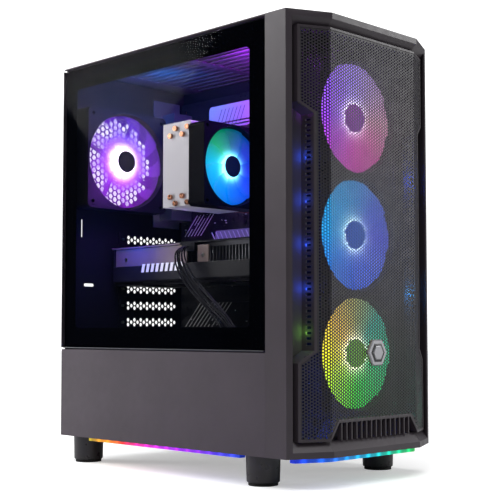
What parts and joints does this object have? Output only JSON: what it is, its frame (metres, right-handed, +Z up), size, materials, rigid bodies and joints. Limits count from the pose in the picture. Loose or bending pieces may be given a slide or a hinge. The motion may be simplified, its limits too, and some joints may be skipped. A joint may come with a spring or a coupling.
{
  "type": "desktop computer tower",
  "caption": "Mid-size computer tower: facetted mesh front, glass side, lit fans, graphics card, cooler, power supply and removable panels.",
  "frame": {"origin": "on the surface the tower stands on, under the middle of its outline", "axes": "+Z up; the mesh front faces -Y; the glass side faces -X"},
  "size_m": [0.225, 0.388, 0.46],
  "materials": {
    "case_steel": "satin powder coat",
    "front_plastic": "satin moulded",
    "front_mesh_steel": "satin, perforated",
    "badge_metal": "satin silver",
    "tempered_glass": "polished, black printed border",
    "foot_plastic": "satin moulded",
    "foot_rubber": "matte",
    "light_strip": "milky diffuser, lit from inside",
    "filter_mesh": "fine mesh",
    "button_plastic": "smooth",
    "socket_plastic": "moulded",
    "thumbscrew_steel": "black, knurled",
    "screw_steel": "zinc plated",
    "board_laminate": "solder mask",
    "standoff_brass": "turned",
    "port_metal": "plated",
    "heatsink_aluminium": "anodised",
    "memory_black": "satin",
    "cooler_aluminium": "bright",
    "pipe_copper": "polished copper",
    "fan_frame_plastic": "black",
    "fan_blade_plastic": "milky, lit from the hub",
    "card_fan_plastic": "black",
    "card_shroud_plastic": "black",
    "bracket_white": "white",
    "psu_steel": "black powder coat",
    "drive_aluminium": "cast",
    "cable_sleeve": "sleeved"
  },
  "bodies": {
    "chassis": {"bottom_plate": "case_steel", "rear_panel": "case_steel", "top_panel": "case_steel", "front_wall": "case_steel", "motherboard_tray": "case_steel", "psu_shroud": "case_steel", "lower_side_panel": "case_steel", "drive_cage": "case_steel", "feet": "foot_plastic", "foot_pads": "foot_rubber", "led_strip_side": "light_strip", "front_io_board": "socket_plastic", "board_sockets": "socket_plastic", "psu_inlet": "socket_plastic", "case_screws": "screw_steel", "motherboard": "board_laminate", "gpu_board": "board_laminate", "psu_board": "board_laminate", "standoffs": "standoff_brass", "rear_io_block": "port_metal", "board_heatsinks": "heatsink_aluminium", "gpu_heatsink": "heatsink_aluminium", "ram_modules": "memory_black", "cooler_fins": "cooler_aluminium", "cooler_base": "cooler_aluminium", "heat_pipes": "pipe_copper", "front_fan_frames": "fan_frame_plastic", "rear_fan_frame": "fan_frame_plastic", "cooler_fan_frame": "fan_frame_plastic", "gpu_shroud": "card_shroud_plastic", "slot_covers": "bracket_white", "gpu_bracket": "bracket_white", "psu_case": "psu_steel", "hard_drive": "drive_aluminium", "gpu_power_cable": "cable_sleeve", "atx_cable": "cable_sleeve", "front_panel_wires": "cable_sleeve"},
    "glass_door": {"glass_panel": "tempered_glass", "glass_rail": "case_steel", "glass_thumbscrews": "thumbscrew_steel"},
    "side_door": {"right_side_panel": "case_steel", "side_thumbscrews": "thumbscrew_steel"},
    "front_panel": {"front_bezel": "front_plastic", "front_insert": "front_plastic", "front_mesh": "front_mesh_steel", "badge": "badge_metal", "led_strip_front": "light_strip"},
    "top_filter": {"top_filter": "filter_mesh"},
    "psu_filter": {"psu_filter": "filter_mesh"},
    "power_button": {"power_button": "button_plastic"},
    "reset_button": {"reset_button": "button_plastic"},
    "psu_switch": {"psu_switch": "button_plastic"},
    "front_fan_1": {"front_fan_rotor_1": "fan_blade_plastic"},
    "front_fan_2": {"front_fan_rotor_2": "fan_blade_plastic"},
    "front_fan_3": {"front_fan_rotor_3": "fan_blade_plastic"},
    "rear_fan": {"rear_fan_rotor": "fan_blade_plastic"},
    "cooler_fan": {"cooler_fan_rotor": "fan_blade_plastic"},
    "gpu_fan_1": {"gpu_rotor_1": "card_fan_plastic"},
    "gpu_fan_2": {"gpu_rotor_2": "card_fan_plastic"},
    "psu_fan": {"psu_rotor": "card_fan_plastic"}
  },
  "joints": [
    {"name": "glass_door_slide", "type": "slide", "parent": "chassis", "child": "glass_door", "axis": [0, 1, 0], "range_m": [0, 0.345]},
    {"name": "side_door_slide", "type": "slide", "parent": "chassis", "child": "side_door", "axis": [0, 1, 0], "range_m": [0, 0.345]},
    {"name": "front_panel_pull", "type": "slide", "parent": "chassis", "child": "front_panel", "axis": [0, -1, 0], "range_m": [0, 0.06]},
    {"name": "top_filter_lift", "type": "slide", "parent": "chassis", "child": "top_filter", "axis": [0, 0, 1], "range_m": [0, 0.05]},
    {"name": "psu_filter_slide", "type": "slide", "parent": "chassis", "child": "psu_filter", "axis": [0, 1, 0], "range_m": [0, 0.175]},
    {"name": "power_button_press", "type": "slide", "parent": "chassis", "child": "power_button", "axis": [0, 0, -1], "range_m": [0, 0.0015], "stiffness_N_per_m": 400, "springref_m": -0.0008},
    {"name": "reset_button_press", "type": "slide", "parent": "chassis", "child": "reset_button", "axis": [0, 0, -1], "range_m": [0, 0.0015], "stiffness_N_per_m": 400, "springref_m": -0.0008},
    {"name": "psu_switch_rock", "type": "hinge", "parent": "chassis", "child": "psu_switch", "pos_m": [0.052, 0.1813, 0.092], "axis": [1, 0, 0], "range_deg": [-16, 0]},
    {"name": "front_fan_1_spin", "type": "hinge", "parent": "chassis", "child": "front_fan_1", "pos_m": [0, -0.1578, 0.3695], "axis": [0, 1, 0], "continuous": true},
    {"name": "front_fan_2_spin", "type": "hinge", "parent": "chassis", "child": "front_fan_2", "pos_m": [0, -0.1578, 0.2487], "axis": [0, 1, 0], "continuous": true},
    {"name": "front_fan_3_spin", "type": "hinge", "parent": "chassis", "child": "front_fan_3", "pos_m": [0, -0.1578, 0.1279], "axis": [0, 1, 0], "continuous": true},
    {"name": "rear_fan_spin", "type": "hinge", "parent": "chassis", "child": "rear_fan", "pos_m": [-0.036, 0.1723, 0.356], "axis": [0, 1, 0], "continuous": true},
    {"name": "cooler_fan_spin", "type": "hinge", "parent": "chassis", "child": "cooler_fan", "pos_m": [-0.027, -0.0037, 0.3325], "axis": [0, 1, 0], "continuous": true},
    {"name": "gpu_fan_1_spin", "type": "hinge", "parent": "chassis", "child": "gpu_fan_1", "pos_m": [0.0045, -0.004, 0.21308], "axis": [0, 0, 1], "continuous": true},
    {"name": "gpu_fan_2_spin", "type": "hinge", "parent": "chassis", "child": "gpu_fan_2", "pos_m": [0.0045, 0.114, 0.21308], "axis": [0, 0, 1], "continuous": true},
    {"name": "psu_fan_spin", "type": "hinge", "parent": "chassis", "child": "psu_fan", "pos_m": [0, 0.1148, 0.0452], "axis": [0, 0, 1], "continuous": true}
  ]
}
